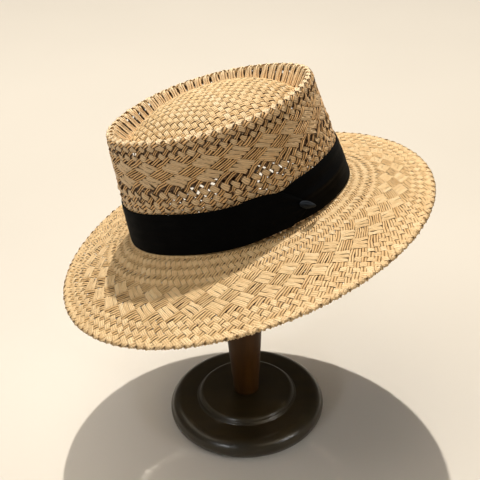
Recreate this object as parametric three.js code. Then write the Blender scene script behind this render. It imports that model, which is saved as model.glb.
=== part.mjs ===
import * as THREE from 'three';

// A woven straw hat with an openwork crown and a black cloth band, resting on a turned wooden stand.
// Millimetres, +Z up, underside of the stand at Z = 0 on the Z axis, front of the hat towards -X.

// Woven body
const STRAW_WALL = 2.0;
const CROWN_HALF_LENGTH = 101;
const CROWN_HALF_WIDTH = 82;
const OVAL_PULL = 0.037;
const FOOT_SHIFT = 3.0;
const SHIFT_HEIGHT = 80;
const SEAT_GAP = 0.3;
const RIDGE_SEAM = 95.4;

// Brim: half sizes of its edge, and the height of the edge below the foot of the crown
const BRIM_HALF_LENGTH = 172.5;
const BRIM_HALF_WIDTH = 164.5;
const BRIM_DROP = -23;
const BRIM_BACK_LIFT = 11.7;
const BRIM_SIDE_LIFT = -2.1;
const BRIM_FAR_LIFT = 6.2;

// Domed tip inside the ridge of the crown
const TIP_INSET = 25.5;
const TIP_EDGE_HEIGHT = 84.4;
const TIP_RISE = 23;
const TIP_ROUNDING = 3;

// How the hat sits on the stand: place of the centre of the crown's foot, turn and lean in radians
const HAT_PLACE = new THREE.Vector3(-0.5, 0, 237.7);
const HAT_TURN = 0.318;
const HAT_LEAN_X = -0.08;
const HAT_LEAN_Y = -0.208;

// Cloth band, angles in degrees round the crown from the back of the hat
const BAND_HEIGHT = 36.6;
const BAND_FOOT = 0.9;
const BAND_CLOTH = 1.2;
const BAND_START = 262;
const BAND_END = 650.5;
const BAND_CLIMB = 575;
const BAND_CORNER = 641;
const BAND_END_TOP = 18.5;
const BAND_END_FOOT = 10;
const BAND_LAYER = 2.6;
const BAND_DIP = { angle: 281, spread: 6.5, depth: 3.2 };
const BAND_RAISE = { angle: 276, spread: 17, depth: 2.2 };

// Knot of cloth that closes the band
const KNOT_ANGLE = 291.2;
const KNOT_HEIGHT = 14.3;
const KNOT_HALF_LENGTH = 8.8;
const KNOT_HALF_HEIGHT = 3.5;
const KNOT_THICK = 3.8;
const KNOT_TILT = 0.55;

// Stand
const BASE_RADIUS = 75.3;
const BASE_THICK = 22.4;
const STEP_RADIUS = 46.5;
const STEP_HEIGHT = 6;
const POST_FOOT_RADIUS = 12.2;
const POST_TOP_RADIUS = 17.5;
const POST_WIDENING = 0.28;
const HEAD_RADIUS = 43;
const HEAD_DOME_RADIUS = 64;
const HEAD_SIDE = 16;
const HEAD_GAP = 0.5;

// How finely each piece is faceted
const SIDE_STATIONS = 108;
const RIDGE_STATIONS = 72;
const TIP_STATIONS = 44;
const BRIM_STATIONS = 68;
const BAND_STATIONS = 76;
const BASE_STATIONS = 36;
const POST_STATIONS = 24;
const HEAD_STATIONS = 28;
const STATIONS_PER_HOLE = 3;

// Crown side from its foot to under the ridge.
// Columns: inset of the outer face from the oval at the foot, height, and whether the strip up to the
// next row is pierced.
const SIDE_ROWS = [
  { inset: 0.0, height: SEAT_GAP, pierced: false },
  { inset: 4.2, height: 43.2, pierced: true },
  { inset: 4.7, height: 49.0, pierced: false },
  { inset: 5.5, height: 56.2, pierced: true },
  { inset: 6.2, height: 64.0, pierced: false },
  { inset: 8.2, height: 86.6, pierced: true },
  { inset: 8.5, height: 92.4, pierced: false },
  { inset: 8.8, height: RIDGE_SEAM - SEAT_GAP, pierced: false },
];

// Ridge of the crown from the seam on the side, over the crest and down to the groove round the tip.
// Columns: inset of the outer face from the oval at the foot, and height.
const RIDGE_ROWS = [
  { inset: 8.8, height: RIDGE_SEAM },
  { inset: 9.7, height: 98.0 },
  { inset: 12.2, height: 99.9 },
  { inset: 15.0, height: 98.4 },
  { inset: 19.6, height: 92.2 },
  { inset: TIP_INSET - SEAT_GAP, height: TIP_EDGE_HEIGHT },
];

// Tip from its centre to its edge, as shares of the half sizes
const TIP_SHARES = [0.2, 0.42, 0.63, 0.83, 1.0];

// Brim from the foot of the crown to the turned edge.
// Columns: share of the width, share of the drop, thickness.
const BRIM_ROWS = [
  { share: 0.0, drop: 0.0, thick: STRAW_WALL },
  { share: 0.07, drop: 0.03, thick: STRAW_WALL },
  { share: 0.36, drop: 0.32, thick: STRAW_WALL },
  { share: 0.68, drop: 0.665, thick: STRAW_WALL },
  { share: 0.965, drop: 0.963, thick: STRAW_WALL },
  { share: 0.98, drop: 0.965, thick: 3.2 },
  { share: 1.0, drop: 1.0, thick: 2.2 },
];

// Lengthwise folds of the band from its lower edge to its upper edge.
// Columns: share of the height, and how far the cloth swells off the crown there.
const BAND_FOLDS = [
  { share: 0.0, swell: 0.0 },
  { share: 0.2, swell: 0.9 },
  { share: 0.38, swell: 0.35 },
  { share: 0.58, swell: 1.0 },
  { share: 0.76, swell: 0.4 },
  { share: 1.0, swell: 0.0 },
];

const strawColour = { color: 0xc9a56a, roughness: 0.75, metalness: 0 };
const bandColour = { color: 0x0d0d10, roughness: 0.85, metalness: 0 };
const baseColour = { color: 0x2a1d15, roughness: 0.35, metalness: 0 };
const postColour = { color: 0x5a3a20, roughness: 0.45, metalness: 0 };

const hatMatrix = new THREE.Matrix4()
  .makeTranslation(HAT_PLACE)
  .multiply(new THREE.Matrix4().makeRotationY(HAT_LEAN_Y))
  .multiply(new THREE.Matrix4().makeRotationX(HAT_LEAN_X))
  .multiply(new THREE.Matrix4().makeRotationZ(HAT_TURN));

function oval(inset, angle) {
  const pull = 1 - OVAL_PULL * Math.sin(2 * angle) ** 2;
  const x = (CROWN_HALF_LENGTH - inset) * Math.cos(angle) * pull;
  const y = (CROWN_HALF_WIDTH - inset) * Math.sin(angle) * pull;
  return [x, y];
}

// The foot of the crown is set back a little along the hat, and the upper part is not
function setBack(height) {
  return FOOT_SHIFT * Math.max(0, 1 - height / SHIFT_HEIGHT);
}

function onOval(inset, angle, height) {
  const [x, y] = oval(inset, angle);
  return new THREE.Vector3(x + setBack(height), y, height);
}

// Inset of the crown's outer face at a height on its side
function sideInset(height) {
  const upper = SIDE_ROWS.findIndex((row) => row.height > height);
  const a = SIDE_ROWS[Math.max(upper - 1, 0)];
  const b = SIDE_ROWS[Math.max(upper, 1)];
  return a.inset + ((b.inset - a.inset) * (height - a.height)) / (b.height - a.height);
}

// The other face of a wall: each row of the profile moved square to its neighbours. An end is cut
// level where the wall stands up and upright where it slopes, so that the next piece can meet it.
function innerProfile(rows, wall) {
  return rows.map((row, i) => {
    const before = rows[Math.max(i - 1, 0)];
    const after = rows[Math.min(i + 1, rows.length - 1)];
    const along = new THREE.Vector2(after.inset - before.inset, after.height - before.height).normalize();
    const isEnd = i === 0 || i === rows.length - 1;
    if (isEnd && Math.abs(along.x) > 0.5) {
      return { inset: row.inset, height: row.height - wall / Math.abs(along.x) };
    }
    if (isEnd) {
      return { inset: row.inset + wall, height: row.height };
    }
    const first = new THREE.Vector2(row.inset - before.inset, row.height - before.height).normalize();
    const bend = Math.max(first.dot(along), 0.5);
    return { inset: row.inset + (along.y * wall) / bend, height: row.height - (along.x * wall) / bend };
  });
}

function geometryFrom(points, faces, matrix) {
  const geometry = new THREE.BufferGeometry();
  geometry.setAttribute('position', new THREE.Float32BufferAttribute(points.flatMap((p) => p.toArray()), 3));
  geometry.setIndex(faces);
  if (matrix) {
    geometry.applyMatrix4(matrix);
  }
  geometry.computeVertexNormals();
  return geometry;
}

// A wall with two faces on one grid of cells. Cells that are left open, and the ends of the grid,
// are closed by a side wall between the two faces.
function wallGeometry({ rows, stations, wraps, outer, inner, isOpen }) {
  const columns = wraps ? stations : stations + 1;
  const grid = [...Array(rows + 1).keys()];
  const around = [...Array(columns).keys()];
  const points = [
    ...grid.flatMap((i) => around.map((j) => outer(i, j))),
    ...grid.flatMap((i) => around.map((j) => inner(i, j))),
  ];
  const half = (rows + 1) * columns;
  const at = (i, j) => i * columns + (j % columns);
  const filled = (i, j) => {
    const k = wraps ? (j + stations) % stations : j;
    return i >= 0 && i < rows && k >= 0 && k < stations && !(isOpen && isOpen(i, k));
  };
  const faces = [];
  const quad = (a, b, c, d) => faces.push(a, b, c, a, c, d);
  for (let i = 0; i < rows; i += 1) {
    for (let j = 0; j < stations; j += 1) {
      if (!filled(i, j)) {
        continue;
      }
      const ring = [at(i, j), at(i, j + 1), at(i + 1, j + 1), at(i + 1, j)];
      const beside = [filled(i - 1, j), filled(i, j + 1), filled(i + 1, j), filled(i, j - 1)];
      quad(...ring);
      quad(...ring.map((k) => k + half).reverse());
      ring.forEach((from, side) => {
        const to = ring[(side + 1) % 4];
        if (!beside[side]) {
          quad(to, from, from + half, to + half);
        }
      });
    }
  }
  return { points, faces };
}

function makeMesh(name, geometry, colours) {
  const mesh = new THREE.Mesh(geometry, new THREE.MeshStandardMaterial(colours));
  mesh.name = name;
  return mesh;
}

// A wall that goes all the way round the crown along the rows of a profile
function crownWall(name, profile, stations, isOpen) {
  const inside = innerProfile(profile, STRAW_WALL);
  const angleAt = (j) => (j / stations) * Math.PI * 2;
  const { points, faces } = wallGeometry({
    rows: profile.length - 1,
    stations,
    wraps: true,
    outer: (i, j) => onOval(profile[i].inset, angleAt(j), profile[i].height),
    inner: (i, j) => onOval(inside[i].inset, angleAt(j), inside[i].height),
    isOpen,
  });
  return makeMesh(name, geometryFrom(points, faces, hatMatrix), strawColour);
}

// Crown side with three pierced rows, each a step along from the one below
function crownSide() {
  const isHole = (i, j) => SIDE_ROWS[i].pierced && (j + (i % 4 === 1 ? 1 : 0)) % STATIONS_PER_HOLE === 0;
  return crownWall('crown_side', SIDE_ROWS, SIDE_STATIONS, isHole);
}

function crownRidge() {
  return crownWall('crown_ridge', RIDGE_ROWS, RIDGE_STATIONS);
}

function tipHeight(share) {
  return TIP_EDGE_HEIGHT + TIP_RISE * (1 - share ** TIP_ROUNDING);
}

// Height of the wall measured straight down through the sloping tip
function tipWall(share) {
  const slope = (TIP_RISE * TIP_ROUNDING * share ** (TIP_ROUNDING - 1)) / (CROWN_HALF_WIDTH - TIP_INSET);
  return STRAW_WALL * Math.hypot(1, 0.8 * slope);
}

function tipPoint(share, angle, down) {
  const [x, y] = oval(TIP_INSET, angle);
  return new THREE.Vector3(x * share, y * share, tipHeight(share) - down * tipWall(share));
}

// Domed tip: an upper and a lower face, each a fan at the centre and rings out to the edge
function crownTip() {
  const angles = [...Array(TIP_STATIONS).keys()].map((j) => (j / TIP_STATIONS) * Math.PI * 2);
  const points = [];
  const faces = [];
  const rings = TIP_SHARES.length;
  const half = 1 + rings * TIP_STATIONS;
  for (const down of [0, 1]) {
    points.push(tipPoint(0, 0, down));
    TIP_SHARES.forEach((share) => angles.forEach((angle) => points.push(tipPoint(share, angle, down))));
  }
  const at = (ring, j) => 1 + ring * TIP_STATIONS + (j % TIP_STATIONS);
  const both = (a, b, c) => faces.push(a, b, c, a + half, c + half, b + half);
  for (let j = 0; j < TIP_STATIONS; j += 1) {
    both(0, at(0, j), at(0, j + 1));
    for (let ring = 0; ring < rings - 1; ring += 1) {
      both(at(ring, j), at(ring + 1, j), at(ring + 1, j + 1));
      both(at(ring, j), at(ring + 1, j + 1), at(ring, j + 1));
    }
    const from = at(rings - 1, j);
    const to = at(rings - 1, j + 1);
    faces.push(to, from, from + half, to, from + half, to + half);
  }
  return makeMesh('crown_tip', geometryFrom(points, faces, hatMatrix), strawColour);
}

function brimEdgeHeight(angle) {
  const ends = BRIM_BACK_LIFT * Math.cos(angle) + BRIM_SIDE_LIFT * Math.cos(2 * angle);
  return BRIM_DROP + ends + BRIM_FAR_LIFT * Math.sin(angle);
}

// Brim: drooping wall from under the foot of the crown to a thicker turned edge
function brim() {
  const place = (i, j, under) => {
    const { share, drop, thick } = BRIM_ROWS[i];
    const angle = (j / BRIM_STATIONS) * Math.PI * 2;
    const [ovalX, y] = oval(STRAW_WALL, angle);
    const x = ovalX + setBack(0);
    const edgeX = BRIM_HALF_LENGTH * Math.cos(angle);
    const edgeY = BRIM_HALF_WIDTH * Math.sin(angle);
    const raise = (thick - STRAW_WALL) / 2;
    const height = brimEdgeHeight(angle) * drop + raise - under * thick;
    return new THREE.Vector3(x + (edgeX - x) * share, y + (edgeY - y) * share, height);
  };
  const { points, faces } = wallGeometry({
    rows: BRIM_ROWS.length - 1,
    stations: BRIM_STATIONS,
    wraps: true,
    outer: (i, j) => place(i, j, 1),
    inner: (i, j) => place(i, j, 0),
  });
  return makeMesh('brim', geometryFrom(points, faces, hatMatrix), strawColour);
}

function rampBetween(value, low, high) {
  const share = Math.min(Math.max((value - low) / (high - low), 0), 1);
  return share * share * (3 - 2 * share);
}

// A soft hump round the crown, all the way through both layers of the band
function hump({ angle, spread, depth }, degrees) {
  const away = ((degrees - angle + 540) % 360) - 180;
  return depth * Math.exp(-((away / spread) ** 2));
}

// One ribbon wound a little more than once round the crown. Its end climbs over its start, and the
// upper corner of the end is drawn down to the knot. Beside the knot both edges are pulled in a little.
function hatBand() {
  const place = (i, j, out) => {
    const degrees = BAND_START + ((BAND_END - BAND_START) * j) / BAND_STATIONS;
    const angle = THREE.MathUtils.degToRad(degrees);
    const drawn = Math.max(0, (degrees - BAND_CORNER) / (BAND_END - BAND_CORNER));
    const fullTop = BAND_HEIGHT - hump(BAND_DIP, degrees);
    const fullFoot = BAND_FOOT + hump(BAND_RAISE, degrees);
    const top = fullTop + (BAND_END_TOP - fullTop) * drawn;
    const foot = fullFoot + (BAND_END_FOOT - fullFoot) * drawn;
    const { share, swell } = BAND_FOLDS[i];
    const height = foot + (top - foot) * share;
    const layer = BAND_LAYER * rampBetween(degrees, BAND_CLIMB, BAND_START + 360 - 4);
    const stand = SEAT_GAP + layer + swell + out * BAND_CLOTH;
    return onOval(sideInset(height) - stand, angle, height);
  };
  const { points, faces } = wallGeometry({
    rows: BAND_FOLDS.length - 1,
    stations: BAND_STATIONS,
    wraps: false,
    outer: (i, j) => place(i, j, 1),
    inner: (i, j) => place(i, j, 0),
  });
  return makeMesh('hat_band', geometryFrom(points, faces, hatMatrix), bandColour);
}

// Knot: a small lens of cloth with a nearly flat back, lying along the band
function bandKnot() {
  const angle = THREE.MathUtils.degToRad(KNOT_ANGLE);
  const stand = SEAT_GAP * 2 + BAND_LAYER + BAND_CLOTH + 1.0;
  const centre = onOval(sideInset(KNOT_HEIGHT) - stand, angle, KNOT_HEIGHT);
  const step = 0.01;
  const along = onOval(sideInset(KNOT_HEIGHT), angle + step, KNOT_HEIGHT);
  along.sub(onOval(sideInset(KNOT_HEIGHT), angle - step, KNOT_HEIGHT)).normalize();
  const up = onOval(sideInset(KNOT_HEIGHT + 2), angle, KNOT_HEIGHT + 2);
  up.sub(onOval(sideInset(KNOT_HEIGHT - 2), angle, KNOT_HEIGHT - 2)).normalize();
  const out = new THREE.Vector3().crossVectors(along, up).normalize();
  const turned = along.clone().applyAxisAngle(out, -KNOT_TILT);
  const raised = new THREE.Vector3().crossVectors(out, turned);
  const geometry = new THREE.SphereGeometry(1, 14, 8);
  const flatBack = 0.04;
  const place = new THREE.Matrix4().makeBasis(turned, raised, out).setPosition(centre);
  const position = geometry.getAttribute('position');
  for (let i = 0; i < position.count; i += 1) {
    const taper = 1 - 0.28 * position.getX(i);
    const z = position.getZ(i);
    position.setX(i, position.getX(i) * KNOT_HALF_LENGTH);
    position.setY(i, position.getY(i) * KNOT_HALF_HEIGHT * taper);
    position.setZ(i, z * KNOT_THICK * (z < 0 ? flatBack : taper));
  }
  geometry.applyMatrix4(place);
  geometry.applyMatrix4(hatMatrix);
  geometry.computeVertexNormals();
  return makeMesh('band_knot', geometry, bandColour);
}

function turned(name, profile, stations, colours) {
  const points = profile.map(([radius, height]) => new THREE.Vector2(radius, height));
  const geometry = new THREE.LatheGeometry(points, stations);
  geometry.applyMatrix4(new THREE.Matrix4().makeRotationX(Math.PI / 2));
  return makeMesh(name, geometry, colours);
}

function arc(centreRadius, centreHeight, radius, fromDegrees, toDegrees, steps) {
  return [...Array(steps + 1).keys()].map((k) => {
    const a = THREE.MathUtils.degToRad(fromDegrees + ((toDegrees - fromDegrees) * k) / steps);
    return [centreRadius + radius * Math.cos(a), centreHeight + radius * Math.sin(a)];
  });
}

// Turned base: flat underside, full round edge and a raised step in the middle
function standBase() {
  const edge = BASE_THICK / 2;
  const top = BASE_THICK + STEP_HEIGHT;
  const profile = [
    [0, 0],
    ...arc(BASE_RADIUS - edge, edge, edge, -90, 90, 8),
    [STEP_RADIUS + 2, BASE_THICK],
    ...arc(STEP_RADIUS - 2.5, top - 2.5, 2.5, 0, 90, 2),
    [0, top],
  ];
  return turned('stand_base', profile, BASE_STATIONS, baseColour);
}

function domeHeight(radius) {
  return Math.sqrt(HEAD_DOME_RADIUS ** 2 - radius ** 2) - HEAD_DOME_RADIUS;
}

// Height at which the dome of the head just clears the underside of the leaning tip
function headTop() {
  let top = Infinity;
  for (let share = 0; share <= 1; share += 0.05) {
    for (let degrees = 0; degrees < 360; degrees += 5) {
      const p = tipPoint(share, THREE.MathUtils.degToRad(degrees), 1).applyMatrix4(hatMatrix);
      const radius = Math.hypot(p.x, p.y);
      if (radius < HEAD_RADIUS) {
        top = Math.min(top, p.z - domeHeight(radius));
      }
    }
  }
  return top - HEAD_GAP;
}

// Plain domed head under the hat, and the post that widens upwards to carry it
function standHead(top) {
  const shoulder = top + domeHeight(HEAD_RADIUS - 3);
  const dome = [...Array(5).keys()].map((k) => {
    const radius = ((HEAD_RADIUS - 3) * (4 - k)) / 4;
    return [radius, top + domeHeight(radius)];
  });
  const profile = [
    [0, shoulder - HEAD_SIDE],
    [HEAD_RADIUS - 8, shoulder - HEAD_SIDE],
    [HEAD_RADIUS, shoulder - HEAD_SIDE + 6],
    [HEAD_RADIUS, shoulder - 2.5],
    ...dome,
  ];
  return turned('stand_head', profile, HEAD_STATIONS, postColour);
}

function standPost(top) {
  const foot = BASE_THICK + STEP_HEIGHT + SEAT_GAP;
  const end = top + domeHeight(HEAD_RADIUS - 3) - HEAD_SIDE - SEAT_GAP;
  const waist = foot + (end - foot) * POST_WIDENING;
  const profile = [
    [0, foot],
    [POST_FOOT_RADIUS, foot],
    [POST_TOP_RADIUS, waist],
    [POST_TOP_RADIUS, end],
    [0, end],
  ];
  return turned('stand_post', profile, POST_STATIONS, postColour);
}

const part = new THREE.Group();
part.name = 'straw_hat_on_stand';
const top = headTop();
part.add(crownSide());
part.add(crownRidge());
part.add(crownTip());
part.add(brim());
part.add(hatBand());
part.add(bandKnot());
part.add(standBase());
part.add(standPost(top));
part.add(standHead(top));

export default part;
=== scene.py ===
# %% [markdown]
# # A woven straw hat on its stand
# The hat is woven from flat strips of paper straw on two diagonals, trimmed with a black ribbon, and it
# rests on a small turned stand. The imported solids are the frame, and the shapes here repeat their sizes and
# places. The plain straw walls are replaced by real strips that pass over and under each other, because the
# holes, floats and little shadows of a weave are what makes such a hat look real from any side.

# %% Load the frame
import bpy
import numpy as np
from mathutils import Matrix, Vector


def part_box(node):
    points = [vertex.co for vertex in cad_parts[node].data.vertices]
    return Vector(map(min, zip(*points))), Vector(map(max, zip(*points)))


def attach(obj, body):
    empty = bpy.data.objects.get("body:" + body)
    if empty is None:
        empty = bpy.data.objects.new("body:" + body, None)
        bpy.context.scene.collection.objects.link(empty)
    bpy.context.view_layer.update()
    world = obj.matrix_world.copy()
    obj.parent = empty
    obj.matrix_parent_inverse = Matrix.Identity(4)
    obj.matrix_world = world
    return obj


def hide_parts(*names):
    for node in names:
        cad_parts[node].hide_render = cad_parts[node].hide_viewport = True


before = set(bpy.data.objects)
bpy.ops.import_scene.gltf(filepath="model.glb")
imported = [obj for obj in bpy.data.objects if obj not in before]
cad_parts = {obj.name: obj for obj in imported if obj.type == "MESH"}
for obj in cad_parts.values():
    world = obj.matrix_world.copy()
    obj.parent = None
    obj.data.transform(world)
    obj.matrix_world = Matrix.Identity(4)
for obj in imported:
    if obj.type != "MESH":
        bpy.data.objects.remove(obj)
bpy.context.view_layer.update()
rng = np.random.default_rng(11)
print("nodes:", sorted(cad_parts))

# %% [markdown]
# ## The hat's own frame
# The hat leans and turns on its stand, so its shapes are worked out in its own frame in millimetres, with
# the middle of the crown's foot at the origin, and one rotation and one shift bring them into the room. An
# empty as a parent could do the same, but a finished piece here sits at the origin, with its place in its mesh.

# %% Hat frame
MM = 0.001
HAT_PLACE = np.array([-0.5, 0.0, 237.7])
HAT_TURN, HAT_LEAN_X, HAT_LEAN_Y = 0.318, -0.08, -0.208
HAT_ROTATION = np.array(
    Matrix.Rotation(HAT_LEAN_Y, 3, "Y") @ Matrix.Rotation(HAT_LEAN_X, 3, "X") @ Matrix.Rotation(HAT_TURN, 3, "Z")
)


def in_room(points):
    """Hat points in millimetres, turned and shifted into the room in metres."""
    return (points @ HAT_ROTATION.T + HAT_PLACE) * MM


def unit(vectors):
    """Each vector divided by its length."""
    return vectors / np.maximum(np.linalg.norm(vectors, axis=-1, keepdims=True), 1e-9)


print("the crown's foot is", HAT_PLACE[2], "mm up")

# %% [markdown]
# ## From arrays to meshes
# Every new piece is a grid of points computed at once. One helper writes points, faces, a UV map and up to
# two values per point into a mesh with foreach_set, because adding faces one by one would be slow for this
# many strips.

# %% Mesh helper
def make_piece(
    name, points, quads, material, replaces=(), tris=None, uv=None, tone=None, ridge=None, sunk=None
):
    """A smooth mesh object from points in metres. Tone_and_highlight is each point's own tone plus its painted
    highlight, sunk sets its painted shade and below zero fades it into a painted highlight, and ridge numbers
    the lines of points that stay sharp."""
    mesh = bpy.data.meshes.new(name)
    corners = [quads.reshape(-1)] + ([] if tris is None else [tris.reshape(-1)])
    corners = np.concatenate(corners).astype(np.int32)
    starts = np.arange(len(quads)) * 4
    if tris is not None:
        starts = np.concatenate([starts, len(quads) * 4 + np.arange(len(tris)) * 3])
    mesh.vertices.add(len(points))
    mesh.vertices.foreach_set("co", points.astype(np.float32).reshape(-1))
    mesh.loops.add(len(corners))
    mesh.loops.foreach_set("vertex_index", corners)
    mesh.polygons.add(len(starts))
    mesh.polygons.foreach_set("loop_start", starts.astype(np.int32))
    mesh.polygons.foreach_set("use_smooth", np.ones(len(starts), dtype=bool))
    if uv is not None:
        layer = mesh.uv_layers.new(name="strip")
        layer.data.foreach_set("uv", uv[corners].astype(np.float32).reshape(-1))
    for label, values in (("tone", tone), ("sunk", sunk)):
        if values is not None:
            attribute = mesh.attributes.new(label, "FLOAT", "POINT")
            attribute.data.foreach_set("value", values.astype(np.float32))
    mesh.update(calc_edges=True)
    if ridge is not None:
        ends = np.empty(len(mesh.edges) * 2, dtype=np.int32)
        mesh.edges.foreach_get("vertices", ends)
        first, second = ridge[ends[0::2]], ridge[ends[1::2]]
        sharp = mesh.attributes.new("sharp_edge", "BOOLEAN", "EDGE")
        sharp.data.foreach_set("value", (first == second) & (first > 0))
    mesh.validate()
    mesh.materials.append(material)
    piece = bpy.data.objects.new(name, mesh)
    bpy.context.scene.collection.objects.link(piece)
    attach(piece, "root")
    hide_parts(*replaces)
    print(name, "triangles:", len(quads) * 2 + (0 if tris is None else len(tris)))
    return piece


print("mesh helper ready")

# %% [markdown]
# ## Shader maths
# A material is easier to read as a formula than as a picture of wires. A Wire wraps one socket, so that
# plus, minus and times between wires and numbers add Math nodes, and its node method makes any other node.

# %% Wires
class Wire:
    """One socket of a material. Operators add Math nodes, and node adds any node at all."""

    def __init__(self, tree, socket=None):
        self.tree = tree
        self.socket = socket

    def node(self, kind, settings=None, inputs=None, output=0):
        """A node of that kind: settings first, then values or wires into its sockets; returns an output."""
        made = self.tree.nodes.new(kind)
        for key, value in (settings or {}).items():
            if key == "stops":
                ramp = made.color_ramp
                while len(ramp.elements) < len(value):
                    ramp.elements.new(0.5)
                for element, (place, colour) in zip(ramp.elements, value):
                    element.position = place
                    element.color = (*colour, 1.0)
            else:
                setattr(made, key, value)
        for key, value in (inputs or {}).items():
            if isinstance(value, Wire):
                self.tree.links.new(value.socket, made.inputs[key])
            else:
                made.inputs[key].default_value = value
        return Wire(self.tree, made.outputs[output])

    def math(self, operation, a, b=0.0, clamp=False):
        return self.node("ShaderNodeMath", {"operation": operation, "use_clamp": clamp}, {0: a, 1: b})

    def __add__(self, other):
        return self.math("ADD", self, other)

    __radd__ = __add__

    def __sub__(self, other):
        return self.math("SUBTRACT", self, other)

    def __rsub__(self, other):
        return self.math("SUBTRACT", other, self)

    def __mul__(self, other):
        return self.math("MULTIPLY", self, other)

    __rmul__ = __mul__

    def __pow__(self, other):
        return self.math("POWER", self, other)

    def wave(self):
        """Sine of this wire."""
        return self.math("SINE", self)

    def crest(self):
        """Cosine of this wire."""
        return self.math("COSINE", self)

    def size(self):
        """This wire without its sign."""
        return self.math("ABSOLUTE", self)

    def held(self):
        """This wire held between 0 and 1."""
        return self.math("ADD", self, 0.0, clamp=True)

    def blend(self, low, high):
        """A colour between low and high, with this wire as the share of high."""
        return self.node(
            "ShaderNodeMix", {"data_type": "RGBA"}, {"Factor": self, "A": low, "B": high}, output=2
        )


print("wires ready")

# %% [markdown]
# ## Helpers for finishes
# Every finish here is one base shader whose sockets are filled in by name. Noise, bump and the UV map of a
# strip turn up in most of them, so each gets a short name of its own.

# %% Finish helpers
def new_finish(name, shading):
    """A material with one glossy base shader, whose sockets shading(start) returns by name."""
    material = bpy.data.materials.new(name)
    material.use_nodes = True
    tree = material.node_tree
    shader = tree.nodes["Principled BSDF"]
    for key, value in shading(Wire(tree)).items():
        if isinstance(value, Wire):
            tree.links.new(value.socket, shader.inputs[key])
        else:
            shader.inputs[key].default_value = value
    return material


def noise(start, place, scale, detail=2.0, rough=0.5):
    """Soft noise at a place, from about 0.25 to 0.75."""
    return start.node(
        "ShaderNodeTexNoise", {}, {"Vector": place, "Scale": scale, "Detail": detail, "Roughness": rough}
    )


def bumped(start, height, strength, distance):
    """A normal bent by a height."""
    return start.node("ShaderNodeBump", {}, {"Strength": strength, "Distance": distance, "Height": height})


def strip_uv(start):
    """The distance along a strip and the place across it, from its UV map."""
    uv = start.node("ShaderNodeUVMap", {"uv_map": "strip"})
    parts = start.node("ShaderNodeSeparateXYZ", {}, {0: uv})
    return [Wire(start.tree, parts.socket.node.outputs[k]) for k in (0, 1)]


print("finish helpers ready")

# %% [markdown]
# ## Straw
# Paper straw is a flat, slightly shiny tan strip with fibres along its length and a crease or two. The two
# diagonals of this hat differ: strips that climb to the right are creased into fine lines, and strips that
# climb to the left lie flat and pale. Each strip has its own tone, kept in an attribute together with a painted
# highlight on the ridge and the tip, and its UV map runs along and across it, so that fibres follow every bend.
# Painted shade darkens the creases, the edges of a strip and the places where it dives under another. The crown
# has its own copies of both finishes: warmer and paler, with deeper creases and stronger painted shade.

# %% Straw finish
STRAW_DARK = (0.58, 0.35, 0.14, 1.0)
STRAW_LIGHT = (0.93, 0.71, 0.42, 1.0)
# Pale straw, also the colour of the painted highlight on the crest
STRAW_PALE = (0.96, 0.84, 0.62, 1.0)
STRAW_SHADE = (0.085, 0.034, 0.012, 1.0)


def straw(creases, depth, rim, pale, warm=1.0, under=0.62):
    """Straw shading: creases across each strip, how dark the painted shade in them and on its edges is, how pale
    and warm it is, and how far under another strip its painted shade starts."""
    tint = np.array([1.0, warm, warm * warm])

    def shading(start):
        along, across = strip_uv(start)
        tone = start.node("ShaderNodeAttribute", {"attribute_name": "tone"}, output="Fac")
        sunk = start.node("ShaderNodeAttribute", {"attribute_name": "sunk"}, output="Fac")
        # fibres and blotches: noise drawn out along the strip, another cut of it for each tone
        fibre_place = start.node("ShaderNodeCombineXYZ", {}, {0: along * 0.35, 1: across * 16.0, 2: tone * 57.0})
        fibre = noise(start, fibre_place, 1.0, 3.0, 0.6)
        blotch_place = start.node("ShaderNodeCombineXYZ", {}, {0: along * 0.16, 1: across * 0.8, 2: tone * 31.0})
        blotch = noise(start, blotch_place, 1.0, 2.0)
        # creases: a sharpened cosine across the strip; painted shade darkens them, the strip's edges and the
        # dives where it goes under another
        strayed = across + (blotch - 0.5) * 0.25
        aside = (across - 0.5).size() * 2.0
        line = ((strayed * (creases * 2.0 * np.pi)).crest() * 0.5 + 0.5) ** 6.0
        edge = aside ** 9.0
        dive = ((sunk + aside ** 2.0 * 0.1 - under) * 7.0).held()
        # colour: from dark to pale by tone, with its painted highlight, fibre and blotch; where sunk drops below
        # zero, as on the crest, the painted shade fades and a painted highlight pales the straw
        lightness = (tone * 0.24 + fibre * 0.75 + blotch * 0.55 + (pale - 0.39)).held()
        tones = ((0.0, STRAW_DARK), (0.7, STRAW_LIGHT), (1.0, STRAW_PALE))
        stops = [(place, tuple(colour[:3] * tint)) for place, colour in tones]
        colour = start.node("ShaderNodeValToRGB", {"stops": stops}, {"Fac": lightness})
        worn = (sunk + 1.0).held()
        colour = ((worn * 3.0).held() * 0.55 + 0.45).blend(STRAW_PALE, colour)
        shaded = ((line * depth + edge * rim + dive * 0.85) * worn).held().blend(colour, STRAW_SHADE)
        height = fibre * 0.4 - line * (depth + 0.4) - edge * 0.4
        return {
            "Base Color": shaded,
            "Roughness": 0.62 - fibre * 0.25,
            "Normal": bumped(start, height, 0.8, 0.0009),
            "Specular IOR Level": 0.5,
        }

    return shading


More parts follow.
